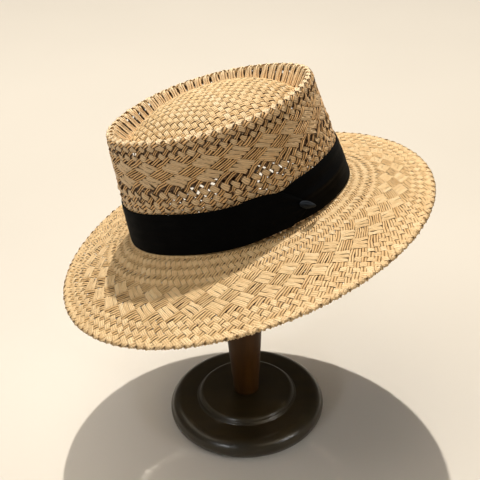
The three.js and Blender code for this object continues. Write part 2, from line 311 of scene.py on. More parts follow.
# The crown's copies are warmer and paler, with deeper painted creases and stronger painted shade on edges and
# under crossings: painted light and shade for the crown's dim, shaded wall
CROWN_PAINTED_SHADE = {"rim": 1.6, "warm": 0.87, "under": 0.56}
straw_lined = new_finish("straw_lined", straw(creases=2.0, depth=0.7, rim=0.8, pale=-0.02))
straw_flat = new_finish("straw_flat", straw(creases=3.0, depth=0.22, rim=0.6, pale=0.24))
crown_lined = new_finish("straw_lined_crown", straw(creases=2.0, depth=1.8, pale=0.24, **CROWN_PAINTED_SHADE))
crown_flat = new_finish("straw_flat_crown", straw(creases=3.0, depth=0.35, pale=0.66, **CROWN_PAINTED_SHADE))
print("straw finishes:", [finish.name for finish in (straw_lined, straw_flat, crown_lined, crown_flat)])

# %% [markdown]
# ## The crown as a surface
# The crown is an oval wall that leans in, rolls over a ridge and comes down as a slotted lip to the groove
# round the tip. A point of it is given by its share of the way round and its distance along the profile.
# Walking round by length, not by angle, keeps the strips evenly spaced on the oval. A lathe would only give a
# round crown, and a sculpted wall would have no such two numbers for the strips to follow.

# %% Crown surface
CROWN_HALF_LENGTH, CROWN_HALF_WIDTH, OVAL_PULL = 101.0, 82.0, 0.037
CROWN_MIDDLE_HALVES = (93.0, 75.0)
SET_BACK, SET_BACK_HEIGHT = 3.0, 80.0
# Inset and height of the outer face, from the foot over the ridge and down the lip
CROWN_PROFILE = np.array([
    (0.0, 0.3), (4.2, 43.2), (8.8, 95.4), (9.7, 98.0), (12.2, 99.9), (15.0, 98.4), (19.6, 92.2), (25.2, 84.4),
    (26.6, 82.4),
])


def softened(rows, step=0.25, reach=1.6):
    """Rows resampled by length and averaged over a short reach, with the length along them."""
    lengths = np.concatenate([[0.0], np.cumsum(np.linalg.norm(np.diff(rows, axis=0), axis=1))])
    even = np.arange(0.0, lengths[-1], step)
    dense = np.stack([np.interp(even, lengths, rows[:, k]) for k in range(rows.shape[1])], -1)
    span = int(reach / step)
    padded = np.concatenate([dense[:1] * 2 - dense[span:0:-1], dense, dense[-1:] * 2 - dense[-2:-span - 2:-1]])
    kernel = np.hanning(2 * span + 3)[1:-1]
    kernel = kernel / kernel.sum()
    smooth = [np.convolve(padded[:, k], kernel, "valid") for k in range(rows.shape[1])]
    return even, np.stack(smooth, -1)


profile_at, profile_rows = softened(CROWN_PROFILE)


def oval(half_length, half_width, angle, pull=OVAL_PULL):
    """An ellipse drawn in a little at its four corners: its radius times 1 - pull sin^2 of twice the angle."""
    fit = 1.0 - pull * np.sin(2.0 * angle) ** 2
    return half_length * np.cos(angle) * fit, half_width * np.sin(angle) * fit


def angle_table(half_length, half_width, pull):
    """Angles at even steps of length round an oval: a table to read with np.interp."""
    angle = np.linspace(0.0, 2.0 * np.pi, 1441)
    ring = np.stack(oval(half_length, half_width, angle, pull), -1)
    run = np.concatenate([[0.0], np.cumsum(np.linalg.norm(np.diff(ring, axis=0), axis=1))])
    return run / run[-1], angle, run[-1]


crown_share, crown_angle, crown_round = angle_table(*CROWN_MIDDLE_HALVES, OVAL_PULL)


def set_back(height):
    """How far the lower part of the crown is set back along the hat, most at its foot."""
    return SET_BACK * np.maximum(0.0, 1.0 - height / SET_BACK_HEIGHT)


def crown_point(share, run):
    """Share of the way round and distance along the profile, to a point on the outer face of the crown."""
    angle = np.interp(share % 1.0, crown_share, crown_angle)
    inset = np.interp(run, profile_at, profile_rows[:, 0])
    height = np.interp(run, profile_at, profile_rows[:, 1])
    x, y = oval(CROWN_HALF_LENGTH - inset, CROWN_HALF_WIDTH - inset, angle)
    return np.stack([x + set_back(height), y, height + 0.0 * x], -1)


def face_normal(surface, first, second, steps=(2e-4, 0.02)):
    """Unit normal of a surface: square to its slopes, taken a small step either way along each parameter."""
    slope_first = surface(first + steps[0], second) - surface(first - steps[0], second)
    slope_second = surface(first, second + steps[1]) - surface(first, second - steps[1])
    return unit(np.cross(slope_first, slope_second))


print("crown is", round(crown_round), "mm round and", round(profile_at[-1]), "mm along its profile")

# %% [markdown]
# ## Weaving
# Strip i of the first diagonal and strip j of the second cross once on each row k = j - i. In plain weave the
# rows take turns: on odd rows the first strip is on top, on even rows the second. In a figured ring the strips
# go in threes, so that blocks of three pass over blocks of three and show as slanted panels. Between two
# crossings a strip eases from over to under, and through a block it floats. A picture of a weave on a smooth
# wall would be quicker, but only real strips leave holes that light comes through.

# %% Weave rules
BLOCK = 3
CROSSING_EASE = (0.1, 0.9)


def ease(value, low, high):
    """A smooth ramp from 0 at low to 1 at high: 3 s^2 - 2 s^3 of the share s of the way."""
    share = np.clip((value - low) / (high - low), 0.0, 1.0)
    return share * share * (3.0 - 2.0 * share)


def bell(value, middle, spread):
    """A soft hump of height 1: e to the minus square of the distance from the middle, counted in spreads."""
    return np.exp(-(((value - middle) / spread) ** 2))


def first_on_top(first, second, figured):
    """True where the first strip is on top of the second; figured is the rows of blocks and their shift."""
    row = second - first
    low, high, shift = figured
    plain = row % 2 == 1
    blocks = ((second - shift) // BLOCK - first // BLOCK) % 2 == 1
    return np.where((row >= low) & (row <= high), blocks, plain)


def ride_height(number, row, is_first, figured):
    """Height of a strip, from -1 under to +1 over, at a place between its crossings."""
    below = np.floor(row).astype(int)
    levels = []
    for k in (below, below + 1):
        first, second = (number, number + k) if is_first else (number - k, number)
        top = np.where(first_on_top(first, second, figured), 1.0, -1.0)
        levels.append(top if is_first else -top)
    share = ease(row - below, *CROSSING_EASE)
    return levels[0] * (1.0 - share) + levels[1] * share


def wobble(strips, samples, waves, size):
    """Gentle random waves along each strip: three sines of random phase and pitch over about the root of 3."""
    along = np.linspace(0.0, 1.0, samples)
    phase = rng.uniform(0.0, 2.0 * np.pi, (3, strips, 1))
    turns = rng.uniform(0.4, 1.0, (3, strips, 1)) * waves
    return size * np.sin(2.0 * np.pi * turns * along + phase).sum(0) / 1.7


print("blocks of", BLOCK, "strips in the figured rings")

# %% [markdown]
# ## Laying strips
# A strip of paper straw is folded flat, so it has a section of its own: the creased kind has two rounded folds
# with a crease between them, and the flat kind is a thin lens. Curves with a bevel could carry such a section,
# but not a width, a roll and a tone of its own for every point, so numpy carries it along all the paths at once.

# %% Strips
# Points across a strip: place in its width, height in millimetres, and 1 where a line stays sharp
LINED_SECTION = np.array([
    (-0.5, -0.12, 1), (-0.38, 0.42, 0), (-0.13, 0.42, 0), (0.0, -0.08, 1), (0.13, 0.42, 0), (0.38, 0.42, 0),
    (0.5, -0.12, 1), (0.0, -0.42, 0),
])
LINED_SECTION_FINE = np.array(
    [(-0.5, -0.1, 1), (-0.27, 0.44, 0), (0.0, -0.05, 1), (0.27, 0.44, 0), (0.5, -0.1, 1), (0.0, -0.4, 0)]
)
FLAT_SECTION = np.array(
    [(-0.5, -0.02, 1), (-0.38, 0.2, 0), (0.0, 0.27, 0), (0.38, 0.2, 0), (0.5, -0.02, 1), (0.0, -0.27, 0)]
)


def lay_strips(name, section, material, replaces, centre, normal, width, roll, sunk, painted_highlight):
    """Closed strips of one cross-section along many paths: section points go across and up from each path."""
    strips, samples, _ = centre.shape
    points = len(section)
    along = unit(np.gradient(centre, axis=1))
    up = unit(normal - along * (normal * along).sum(-1, keepdims=True))
    side = np.cross(along, up)
    lean = roll[..., None]
    side, up = side * np.cos(lean) + up * np.sin(lean), up * np.cos(lean) - side * np.sin(lean)
    across = section[:, 0] * width[..., None]
    ring = centre[:, :, None] + side[:, :, None] * across[..., None] + up[:, :, None] * section[:, 1][:, None]
    number = np.arange(strips * samples * points).reshape(strips, samples, points)
    ahead = np.roll(number, -1, axis=2)
    walls = np.stack([number[:, :-1], ahead[:, :-1], ahead[:, 1:], number[:, 1:]], -1).reshape(-1, 4)
    first, last = number[:, 0], number[:, -1]
    fans = [[0, q, q + 1, q + 2] for q in range(1, points - 1, 2)]
    caps = np.concatenate([first[:, fan[::-1]] for fan in fans] + [last[:, fan] for fan in fans])
    run = np.cumsum(np.linalg.norm(np.diff(centre, axis=1, prepend=centre[:, :1]), axis=-1), axis=1)
    uv = np.empty(ring.shape[:3] + (2,))
    uv[..., 0] = run[..., None]
    uv[..., 1] = section[:, 0] + 0.5
    # Each strip's own random tone, plus the painted highlight given for its points
    own_tone = rng.uniform(0.0, 1.0, (strips, 1, 1))
    tone = own_tone + np.broadcast_to(painted_highlight, (strips, samples))[..., None] + np.zeros(points)
    return make_piece(
        name, in_room(ring.reshape(-1, 3)), np.concatenate([walls, caps]), material, replaces,
        uv=uv.reshape(-1, 2), tone=tone.reshape(-1),
        ridge=np.tile(np.arange(1, points + 1) * (section[:, 2] > 0), strips * samples),
        sunk=np.repeat(sunk, points),
    )


def weave(name, paths, lined_section, lined_finish, flat_finish, replaces):
    """Both diagonals of a woven piece: creased strips that climb to the right, then flat ones to the left."""
    for diagonal, is_lined in (("rising", True), ("falling", False)):
        section, material = (lined_section, lined_finish) if is_lined else (FLAT_SECTION, flat_finish)
        lay_strips(f"{name}_{diagonal}", section, material, replaces, *paths(is_lined))


print("points round a strip:", len(LINED_SECTION), len(LINED_SECTION_FINE), len(FLAT_SECTION))

# %% [markdown]
# ## The woven crown
# From the band up the crown has plain weave, a row of small holes, plain weave again, a row of larger holes,
# the figured band, plain diamonds, a row of holes under the ridge, and the ridge itself. Where rows lie far
# apart the strips run steeply and leave holes, and where they lie close together the cloth is dense, so one
# list of where each row lies draws the whole openwork. On the lip both diagonals run straight down.

# %% Crown rows
CROWN_STRIPS, CROWN_PHASE = 60, 0.45
CROWN_FIGURED = (6, 16, 2)
FOOT_ROW, OPEN_ROW, LIP_ROW, LAST_ROW = -10.0, -2.0, 22.72, 22.76
# Columns: distance along the profile, row of crossings, width of a flat and a lined strip, their sway and twist
CROWN_ROWS = np.array([
    (0.2, FOOT_ROW, 5.4, 5.0, 0.2, 0.1),
    (33.0, -1.8, 5.4, 5.0, 0.2, 0.1),
    (39.0, 0.0, 5.2, 4.6, 0.3, 0.2),
    (42.2, 1.0, 4.9, 4.5, 0.4, 0.25),
    (44.8, 2.0, 5.2, 4.5, 0.4, 0.3),
    (48.3, 3.0, 4.2, 3.9, 0.6, 0.35),
    (52.5, 4.0, 6.1, 5.3, 0.5, 0.3),
    (57.2, 5.0, 3.8, 3.1, 0.8, 0.4),
    (61.4, 6.0, 4.6, 3.7, 0.5, 0.25),
    (65.3, 8.0, 4.3, 3.7, 0.3, 0.12),
    (71.1, 11.0, 4.2, 3.7, 0.2, 0.1),
    (77.1, 14.0, 4.3, 3.7, 0.2, 0.1),
    (81.0, 16.0, 4.8, 4.0, 0.3, 0.12),
    (83.9, 17.0, 4.9, 4.2, 0.3, 0.15),
    (86.2, 18.0, 5.0, 3.8, 0.4, 0.2),
    (90.2, 19.0, 3.7, 3.1, 0.7, 0.3),
    (94.2, 20.0, 5.2, 3.9, 0.4, 0.2),
    (96.9, 21.0, 5.0, 4.4, 0.35, 0.2),
    (100.4, 22.0, 6.2, 5.6, 0.2, 0.1),
    (104.2, LIP_ROW, 5.2, 4.8, 0.2, 0.1),
    (108.5, 22.73, 4.5, 4.2, 0.4, 0.1),
    (112.5, 22.74, 6.2, 5.7, 0.3, 0.1),
    (122.5, LAST_ROW, 6.0, 5.4, 0.2, 0.0),
])
print("crown rows from", FOOT_ROW, "to", LAST_ROW, "on", CROWN_STRIPS, "strips each way")

# %% [markdown]
# ## Paths of the crown's strips
# A strip climbs by half a place for every row, to the right or to the left, so its path is a straight line in
# the share of the way round and the row. Over the ridge the weave calms down, its painted shade fades out and a
# painted highlight pales the straw, and down the lip some painted shade comes back. Below the ridge's crest, on
# the lip, the strips narrow so that dark slits open between them.

# %% Crown strips
WEAVE_LIFT = 0.6
WALL_MIDDLE = 0.95
# Where a change along the profile starts and ends: the weave calms, painted shade gives way to a painted
# highlight on the crest, the highlight pales the straw, and painted shade returns on the lip
CALM, CREST, CREST_HIGHLIGHT, LIP_SHADE = (96.5, 101.0), (97.5, 100.5), (97.5, 101.0), (105.0, 109.0)
SLIT_OPENS, SLIT_CLOSES = (106.0, 111.0), (117.0, 120.0)
# Share of the way round, spread and width of the two places where the slits are widest
LIP_SLITS = ((0.42, 0.09, 3.0), (0.09, 0.05, 1.2))


def crown_strips(is_lined, per_row=5):
    """Paths of one diagonal: share round = (number +- row / 2) / strips, height from the weave rule."""
    slant = 0.5 if is_lined else -0.5
    run_at, row_at, flat_width, lined_width, sways, twists = CROWN_ROWS.T
    rows = np.concatenate([
        np.arange(FOOT_ROW, OPEN_ROW, 0.5),
        np.arange(OPEN_ROW, LIP_ROW, 1.0 / per_row),
        np.linspace(LIP_ROW, LAST_ROW, 13),
    ])
    samples = len(rows)
    run = np.interp(rows, row_at, run_at)
    number = np.arange(CROWN_STRIPS)[:, None]
    row = np.broadcast_to(rows, (CROWN_STRIPS, samples))
    sway = np.interp(run, run_at, sways) * wobble(CROWN_STRIPS, samples, 11.0, 1.0)
    share = (number + CROWN_PHASE + slant * row) / CROWN_STRIPS + sway / crown_round
    twist = np.interp(run, run_at, twists) * wobble(CROWN_STRIPS, samples, 14.0, 1.0)
    run = run + 0.0 * share
    height = ride_height(number, row, is_lined, CROWN_FIGURED)
    calm = 1.0 - 0.8 * ease(run, *CALM)
    lift = (WEAVE_LIFT * height + wobble(CROWN_STRIPS, samples, 14.0, 0.12)) * calm
    normal = face_normal(crown_point, share, run)
    centre = crown_point(share, run) + normal * (lift - WALL_MIDDLE)[..., None]
    slit = sum(size * bell(share % 1.0, middle, spread) for middle, spread, size in LIP_SLITS)
    width = np.interp(run, run_at, lined_width if is_lined else flat_width)
    width = width - slit * ease(run, *SLIT_OPENS) * (1.0 - ease(run, *SLIT_CLOSES))
    width = width * (1.0 + wobble(CROWN_STRIPS, samples, 9.0, 0.12)) * rng.uniform(0.9, 1.08, (CROWN_STRIPS, 1))
    crest = ease(run, *CREST)
    # sunk: painted shade where a strip dives under another, turned into a painted highlight on the crest and
    # partly back into painted shade down the lip
    sunk = (0.5 - 0.5 * height) * (1.0 - crest) - crest * (1.0 - 0.3 * ease(run, *LIP_SHADE))
    # The last value is a painted highlight added to the tone over the ridge and down the lip
    return centre, normal, width, twist * calm, sunk, 1.3 * ease(run, *CREST_HIGHLIGHT) - 0.05


weave("crown_strips", crown_strips, LINED_SECTION, crown_lined, crown_flat, ("crown_side", "crown_ridge"))

# %% [markdown]
# ## The woven brim
# The brim droops from the foot of the crown to its edge. It has twice as many strips as the crown, and they
# widen as the brim does. A figured ring of slanted panels runs round the middle of it. At the edge every
# strip is turned under and runs back a little way below, which finishes the brim without any binding.

# %% Brim surface
BRIM_HALF_LENGTH, BRIM_HALF_WIDTH = 172.5, 164.5
BRIM_STRIPS, BRIM_PHASE = 120, 0.35
BRIM_FIGURED = (13, 23, 0)
INNER_ROW, EDGE_ROW, EDGE_RADIUS, EDGE_RETURN = 3.8, 30.0, 1.0, 8.0
# Columns: share of the brim's width, row of crossings, width of a flat strip, width of a lined strip
BRIM_ROWS = np.array([
    (-0.03, INNER_ROW, 4.5, 4.1),
    (0.03, 5.0, 4.5, 4.1),
    (0.13, 7.0, 4.7, 4.1),
    (0.225, 9.0, 4.8, 4.5),
    (0.3375, 11.0, 4.9, 4.6),
    (0.41, 13.0, 4.5, 4.3),
    (0.4625, 15.0, 4.2, 3.9),
    (0.544, 18.0, 4.2, 3.9),
    (0.625, 21.0, 4.3, 4.0),
    (0.685, 23.0, 4.9, 4.9),
    (0.7625, 25.0, 5.6, 5.3),
    (0.85, 27.0, 5.8, 5.2),
    (0.9375, 29.0, 6.1, 5.7),
    (0.982, EDGE_ROW, 6.2, 6.0),
])
# Share of the width and share of the drop to the edge
BRIM_DROP = np.array([(0.0, 0.0), (0.07, 0.03), (0.36, 0.32), (0.68, 0.665), (0.965, 0.963), (1.0, 1.0)])
BRIM_MIDDLE_HALVES, BRIM_INSET = (137.0, 124.0), 2.0
brim_share, brim_angle, brim_round = angle_table(*BRIM_MIDDLE_HALVES, 0.0)


def brim_edge_height(angle):
    """Height of the brim's edge round the hat, lowest in front: a mean and three waves of the angle."""
    return -23.0 + 11.7 * np.cos(angle) - 2.1 * np.cos(2.0 * angle) + 6.2 * np.sin(angle)


def brim_point(share, out):
    """Share of the way round and share of the width, to a point on the upper face of the brim."""
    angle = np.interp(share % 1.0, brim_share, brim_angle)
    x, y = oval(CROWN_HALF_LENGTH - BRIM_INSET, CROWN_HALF_WIDTH - BRIM_INSET, angle)
    x = x + set_back(0.0)
    edge_x, edge_y = BRIM_HALF_LENGTH * np.cos(angle), BRIM_HALF_WIDTH * np.sin(angle)
    drop = np.interp(out, BRIM_DROP[:, 0], BRIM_DROP[:, 1])
    return np.stack([x + (edge_x - x) * out, y + (edge_y - y) * out, brim_edge_height(angle) * drop], -1)


def brim_slopes(share, out):
    """Unit directions of the brim at a place: outward, and up from its face."""
    slope_round = brim_point(share + 2e-4, out) - brim_point(share - 2e-4, out)
    slope_out = brim_point(share, out + 0.01) - brim_point(share, out - 0.01)
    return unit(slope_out), unit(np.cross(slope_out, slope_round))


print("brim is", round(brim_round), "mm round half way out")

# %% [markdown]
# ## Paths of the brim's strips
# The strips run out as on the crown. At the edge a half turn carries each one round a small radius, and then it
# runs back below. A bevelled rim would look smoother, but the real edge shows one little loop for every strip.

# %% Brim strips
BRIM_LIFT = 0.42
NEAR_EDGE, PAST_CROWN = (0.86, 0.96), (0.36, 0.46)
# Rows past the edge: a half turn over the first of them, then the way back below
TURN_ROWS, RETURN_ROWS = 0.55, 2.05
PAST_EDGE = np.array([0.0, 0.12, 0.25, 0.4, TURN_ROWS, 1.1, 1.8, 2.6])


def brim_strips(is_lined, per_row=4.4):
    """Paths of one diagonal of the brim: out to the edge, half round it and back below."""
    slant = -0.5 if is_lined else 0.5
    out_at, row_at, flat_width, lined_width = BRIM_ROWS.T
    rows = np.concatenate([np.arange(INNER_ROW, EDGE_ROW - 0.1, 1.0 / per_row), EDGE_ROW + PAST_EDGE])
    samples = len(rows)
    turn = np.clip((rows - EDGE_ROW) / TURN_ROWS, 0.0, 1.0) * np.pi
    below = np.clip((rows - EDGE_ROW - TURN_ROWS) / RETURN_ROWS, 0.0, 1.0) * EDGE_RETURN
    number = np.arange(BRIM_STRIPS)[:, None]
    row = np.broadcast_to(rows, (BRIM_STRIPS, samples))
    sway = wobble(BRIM_STRIPS, samples, 9.0, 0.3) / brim_round
    share = (number + BRIM_PHASE + slant * row) / BRIM_STRIPS + sway
    out = np.interp(rows, row_at, out_at) + 0.0 * share
    height = ride_height(number, row, not is_lined, BRIM_FIGURED)
    near_edge = ease(out, *NEAR_EDGE)
    lift = BRIM_LIFT * height * (1.0 - 0.85 * near_edge) + wobble(BRIM_STRIPS, samples, 12.0, 0.1)
    outward, up = brim_slopes(share, out)
    cosine, sine = np.cos(turn)[:, None], np.sin(turn)[:, None]
    normal = up * cosine + outward * sine
    roll_over = outward * (EDGE_RADIUS * sine - below[:, None]) + up * EDGE_RADIUS * (cosine - 1.0)
    centre = brim_point(share, out) - up * WALL_MIDDLE + roll_over + normal * lift[..., None]
    width = np.interp(out, out_at, lined_width if is_lined else flat_width)
    width = width * (1.0 + wobble(BRIM_STRIPS, samples, 7.0, 0.08)) * rng.uniform(0.94, 1.06, (BRIM_STRIPS, 1))
    near_crown = 1.0 - ease(out, *PAST_CROWN)
    # sunk: painted shade where a strip dives under another, faded out near the edge, where a painted highlight
    # pales the straw a little, and weaker near the crown
    sunk = (0.5 - 0.5 * height) * (1.0 - near_edge) - 0.75 * near_edge - (0.3 if is_lined else 0.1) * near_crown
    return centre, normal, width, wobble(BRIM_STRIPS, samples, 12.0, 0.12), sunk, 0.0


weave("brim_strips", brim_strips, LINED_SECTION_FINE, straw_lined, straw_flat, ("brim",))

# %% [markdown]
# ## The woven tip
# The tip is a domed oval of finer plain weave, whose strips run nearly along and across the hat. Each strip is
# a chord of the oval, sampled evenly, and a cosine carries it over and under the strips it crosses. Strips that
# ran in from the ridge would crowd together in the middle, where the real weave stays even.

# %% Tip strips
TIP_HALF_LENGTH, TIP_HALF_WIDTH = 75.9, 56.9
TIP_EDGE_HEIGHT, TIP_RISE, TIP_ROUNDING = 84.4, 23.0, 3.0
TIP_PITCH, TIP_TURN = 4.3, 8.0
TIP_LIFT, TIP_FLATNESS, TIP_REACH = 0.36, 1.6, 1.01
LINED_FILL, FLAT_FILL = 0.94, 1.04
# Strength of the painted shade under crossings, and a painted highlight that pales the whole tip
TIP_SHADE, TIP_HIGHLIGHT = 1.15, 0.4


def tip_point(x, y):
    """Height of the dome over a place in plan: the edge height plus rise times 1 - (share out) cubed."""
    out = np.hypot(x / TIP_HALF_LENGTH, y / TIP_HALF_WIDTH)
    return np.stack([x, y, TIP_EDGE_HEIGHT + TIP_RISE * (1.0 - out ** TIP_ROUNDING)], -1)


def tip_strips(is_lined, samples=150):
    """Chords of the oval along one diagonal, a pitch apart, whose ends solve the oval's quadratic equation."""
    turn = np.radians(TIP_TURN if is_lined else TIP_TURN - 90.0)
    way = np.array([np.cos(turn), np.sin(turn)])
    beside = np.array([-np.sin(turn), np.cos(turn)])
    reach = np.hypot(TIP_HALF_LENGTH * beside[0], TIP_HALF_WIDTH * beside[1])
    count = int(reach / TIP_PITCH)
    number = np.arange(-count, count + 1)
    offset = number * TIP_PITCH
    quad_a = (way[0] / TIP_HALF_LENGTH) ** 2 + (way[1] / TIP_HALF_WIDTH) ** 2
    quad_b = 2.0 * offset * (way[0] * beside[0] / TIP_HALF_LENGTH ** 2 + way[1] * beside[1] / TIP_HALF_WIDTH ** 2)
    quad_c = offset ** 2 * ((beside[0] / TIP_HALF_LENGTH) ** 2 + (beside[1] / TIP_HALF_WIDTH) ** 2) - TIP_REACH
    root = np.sqrt(np.maximum(quad_b ** 2 - 4.0 * quad_a * quad_c, 1.0e-9))
    low, high = (-quad_b - root) / (2.0 * quad_a), (-quad_b + root) / (2.0 * quad_a)
    step = low[:, None] + (high - low)[:, None] * np.linspace(0.0, 1.0, samples)
    aside = offset[:, None] + wobble(len(number), samples, 6.0, 0.22)
    x, y = step * way[0] + aside * beside[0], step * way[1] + aside * beside[1]
    other = step if is_lined else -step
    lift = np.cos(np.pi * (other / TIP_PITCH + number[:, None])) * (1.0 if is_lined else -1.0)
    height = np.tanh(TIP_FLATNESS * lift) / np.tanh(TIP_FLATNESS)
    lift = TIP_LIFT * height + wobble(len(number), samples, 9.0, 0.1)
    normal = face_normal(tip_point, x, y, (0.05, 0.05))
    centre = tip_point(x, y) + normal * (lift - WALL_MIDDLE)[..., None]
    width = np.full(x.shape, TIP_PITCH * (LINED_FILL if is_lined else FLAT_FILL))
    width = width * rng.uniform(0.86, 1.08, (len(number), 1))
    roll = wobble(len(number), samples, 9.0, 0.1)
    return centre, normal, width, roll, (0.5 - 0.5 * height) * TIP_SHADE, TIP_HIGHLIGHT


weave("tip_strips", tip_strips, LINED_SECTION_FINE, straw_lined, straw_flat, ("crown_tip",))

# %% [markdown]
# ## Ribbon cloth
# The band is a soft black ribbon. A fine weave breaks up the black, and a little sheen along the folds is
# all that shows of its form. Plain black would look like a hole in the picture, so the ribs and the fading are
# kept, however faint. The knot is a little greyer than the band, so it is more faded.

# %% Ribbon finish
CLOTH_BLACK = np.array([0.0003, 0.0006, 0.0011])
CLOTH_GREY = np.array([0.0024, 0.0032, 0.0048])


def ribbon(faded):
    """Black cloth: fine ribs across the ribbon and soft patches of grey, lighter the more it is faded."""

    def shading(start):
        along, across = strip_uv(start)
        rib = (along * 9.0).wave() * 0.5 + 0.5
        thread = (across * 9.0).wave() * 0.5 + 0.5
        place = start.node("ShaderNodeTexCoord", output="Object")
        patch = noise(start, place, 60.0, 4.0, 0.6)
        wear = (patch * 0.8 + rib * 0.15 - 0.1).held()
        black, grey = CLOTH_BLACK * (1.0 + faded), CLOTH_GREY * (1.0 + 9.0 * faded)
        return {
            "Base Color": wear.blend((*black, 1.0), (*grey, 1.0)),
            "Roughness": 0.85 - patch * 0.25,
            "Normal": bumped(start, rib * 0.6 + thread * 0.4, 0.25, 0.0002),
            "Sheen Weight": 0.02 + 0.05 * faded,
            "Sheen Roughness": 0.4,
            "Sheen Tint": (0.7, 0.85, 1.0, 1.0),
            "Specular IOR Level": 0.05,
        }

    return shading


ribbon_cloth = new_finish("ribbon_cloth", ribbon(faded=0.0))
knot_cloth = new_finish("knot_cloth", ribbon(faded=1.3))
print("cloth finishes:", ribbon_cloth.name, knot_cloth.name)

# %% [markdown]
# ## The band
# One ribbon is wound a little more than once round the crown. Its end climbs over its start, its upper corner
# is drawn down to the knot, and lengthwise pleats are lightly pressed into it, deepest beside the knot. The
# ribbon is a grid of its length and its height, given a thin cloth thickness. A cloth simulation could drape it,
# but a formula puts each fold where it is seen and gives the same ribbon on every run.

# %% Band sizes
# Heights and layers in millimetres, places round the crown in degrees
BAND_HEIGHT, BAND_FOOT = 36.6, 0.9
BAND_START, BAND_END, BAND_CLIMB, BAND_CORNER = 262.0, 650.5, 575.0, 641.0
BAND_END_TOP, BAND_END_FOOT, BAND_LAYER = 18.5, 10.0, 2.6
CLOTH_THICK, CLOTH_GAP = 0.55, 0.35
PLEATS, PLEAT_CREST = 4.0, 0.35
# Place, spread and size of a dip of the top by the knot, a tuck of the foot beside it and a sag in front
KNOT_DIP, KNOT_TUCK, FRONT_SAG = (281.0, 6.5, 3.2), (276.0, 17.0, 2.2), (212.0, 30.0, 1.3)
# Place, spread and depth of the pleats on either side of the knot, and of one long fold half way up
BESIDE_KNOT = ((318.0, 34.0, 0.5), (650.0, 22.0, 0.8))
LONG_FOLD, LONG_FOLD_HEIGHT, LONG_FOLD_RISE = (313.0, 24.0), (0.5, 0.075), 1.9


def hump(degrees, angle, spread, size):
    """A soft hump at an angle round the crown, the same on every turn of the ribbon."""
    return size * bell((degrees - angle + 540.0) % 360.0 - 180.0, 0.0, spread)


def wall_inset(height):
    """How far the side of the crown is set in at a height, read off the rising part of its profile."""
    crest = profile_rows[:, 1].argmax()
    return np.interp(height, profile_rows[:crest, 1], profile_rows[:crest, 0])


def wall_of(front, back):
    """Quads of a thin closed wall between two grids of points: both faces and the four edges."""
    rows, columns = front.shape[:2]
    number = np.arange(rows * columns).reshape(rows, columns)
    half = rows * columns
    face = np.stack([number[:-1, :-1], number[:-1, 1:], number[1:, 1:], number[1:, :-1]], -1).reshape(-1, 4)
    rim = np.concatenate([number[0, :-1], number[:-1, -1], number[-1, :0:-1], number[:0:-1, 0]])
    ahead = np.roll(rim, -1)
    edge = np.stack([ahead, rim, rim + half, ahead + half], -1)
    quads = np.concatenate([face, face[:, ::-1] + half, edge])
    return np.concatenate([front.reshape(-1, 3), back.reshape(-1, 3)]), quads


print("ribbon winds", BAND_END - BAND_START, "degrees round the crown")

# %% Band
def band_grid(stations, rows):
    """Outer and inner face of the ribbon: off the crown by its layer, its pleats and its soft waves."""
    degrees = np.linspace(BAND_START, BAND_END, stations)[None, :]
    share = np.linspace(0.0, 1.0, rows)[:, None]
    angle = np.radians(degrees)
    drawn = np.maximum(0.0, (degrees - BAND_CORNER) / (BAND_END - BAND_CORNER))
    top = BAND_HEIGHT - hump(degrees, *KNOT_DIP) + 0.25 * np.sin(angle * 7.0)
    foot = BAND_FOOT + hump(degrees, *KNOT_TUCK) - hump(degrees, *FRONT_SAG)
    top, foot = top + (BAND_END_TOP - top) * drawn, foot + (BAND_END_FOOT - foot) * drawn
    height = foot + (top - foot) * share
    layer = BAND_LAYER * ease(degrees, BAND_CLIMB, BAND_START + 356.0)
    beside = sum(depth * bell(degrees, place, spread) for place, spread, depth in BESIDE_KNOT)
    long_fold = LONG_FOLD_RISE * bell(degrees, *LONG_FOLD) * bell(share, *LONG_FOLD_HEIGHT)
    drift = 0.02 * np.sin(angle * 2.0 + 0.5) + 0.015 * np.sin(angle * 5.0)
    pleat = 1.0 - np.abs(((share + drift) * PLEATS) % 1.0 - PLEAT_CREST) / (1.0 - PLEAT_CREST)
    pleat = np.clip(pleat, 0.0, 1.0) ** 1.5
    ends = np.abs(np.sin(np.pi * share)) ** 0.4
    swell = ends * (0.35 + 0.55 * pleat * (0.35 + beside) + 0.12 * np.sin(angle * 9.0 + share * 5.0))
    stand = CLOTH_GAP + layer + swell + long_fold
    inset = wall_inset(height)

    def face(extra):
        x, y = oval(CROWN_HALF_LENGTH - inset + stand + extra, CROWN_HALF_WIDTH - inset + stand + extra, angle)
        return np.stack([x + set_back(height), y, height + 0.0 * x], -1)

    return face(CLOTH_THICK), face(0.0)


BAND_STATIONS, BAND_ROWS = 560, 56
band_front, band_back = band_grid(BAND_STATIONS, BAND_ROWS)
band_points, band_quads = wall_of(band_front, band_back)
band_run = np.concatenate([[0.0], np.cumsum(np.linalg.norm(np.diff(band_front[BAND_ROWS // 2], axis=0), axis=1))])
band_rise = np.linspace(0.0, 40.0, BAND_ROWS)
band_uv = np.stack(np.meshgrid(band_run, band_rise), -1).reshape(-1, 2)
band = make_piece(
    "ribbon_band", in_room(band_points), band_quads, ribbon_cloth, ("hat_band",),
    uv=np.concatenate([band_uv, band_uv]),
)

# %% [markdown]
# ## The knot
# A small rounded knot of the same cloth closes the band. It is a lens with wrinkles that run along it. A sphere
# pulled into shape by hand would do as well, but the formula keeps its back flat against the ribbon.

# %% Knot
KNOT_ANGLE, KNOT_HEIGHT, KNOT_TILT = np.radians(291.2), 14.3, 0.55
KNOT_HALF_LENGTH, KNOT_HALF_HEIGHT, KNOT_THICK = 8.8, 2.9, 3.8
KNOT_STAND = BAND_LAYER + 2.8
KNOT_TAPER, KNOT_BACK = 0.34, 0.04


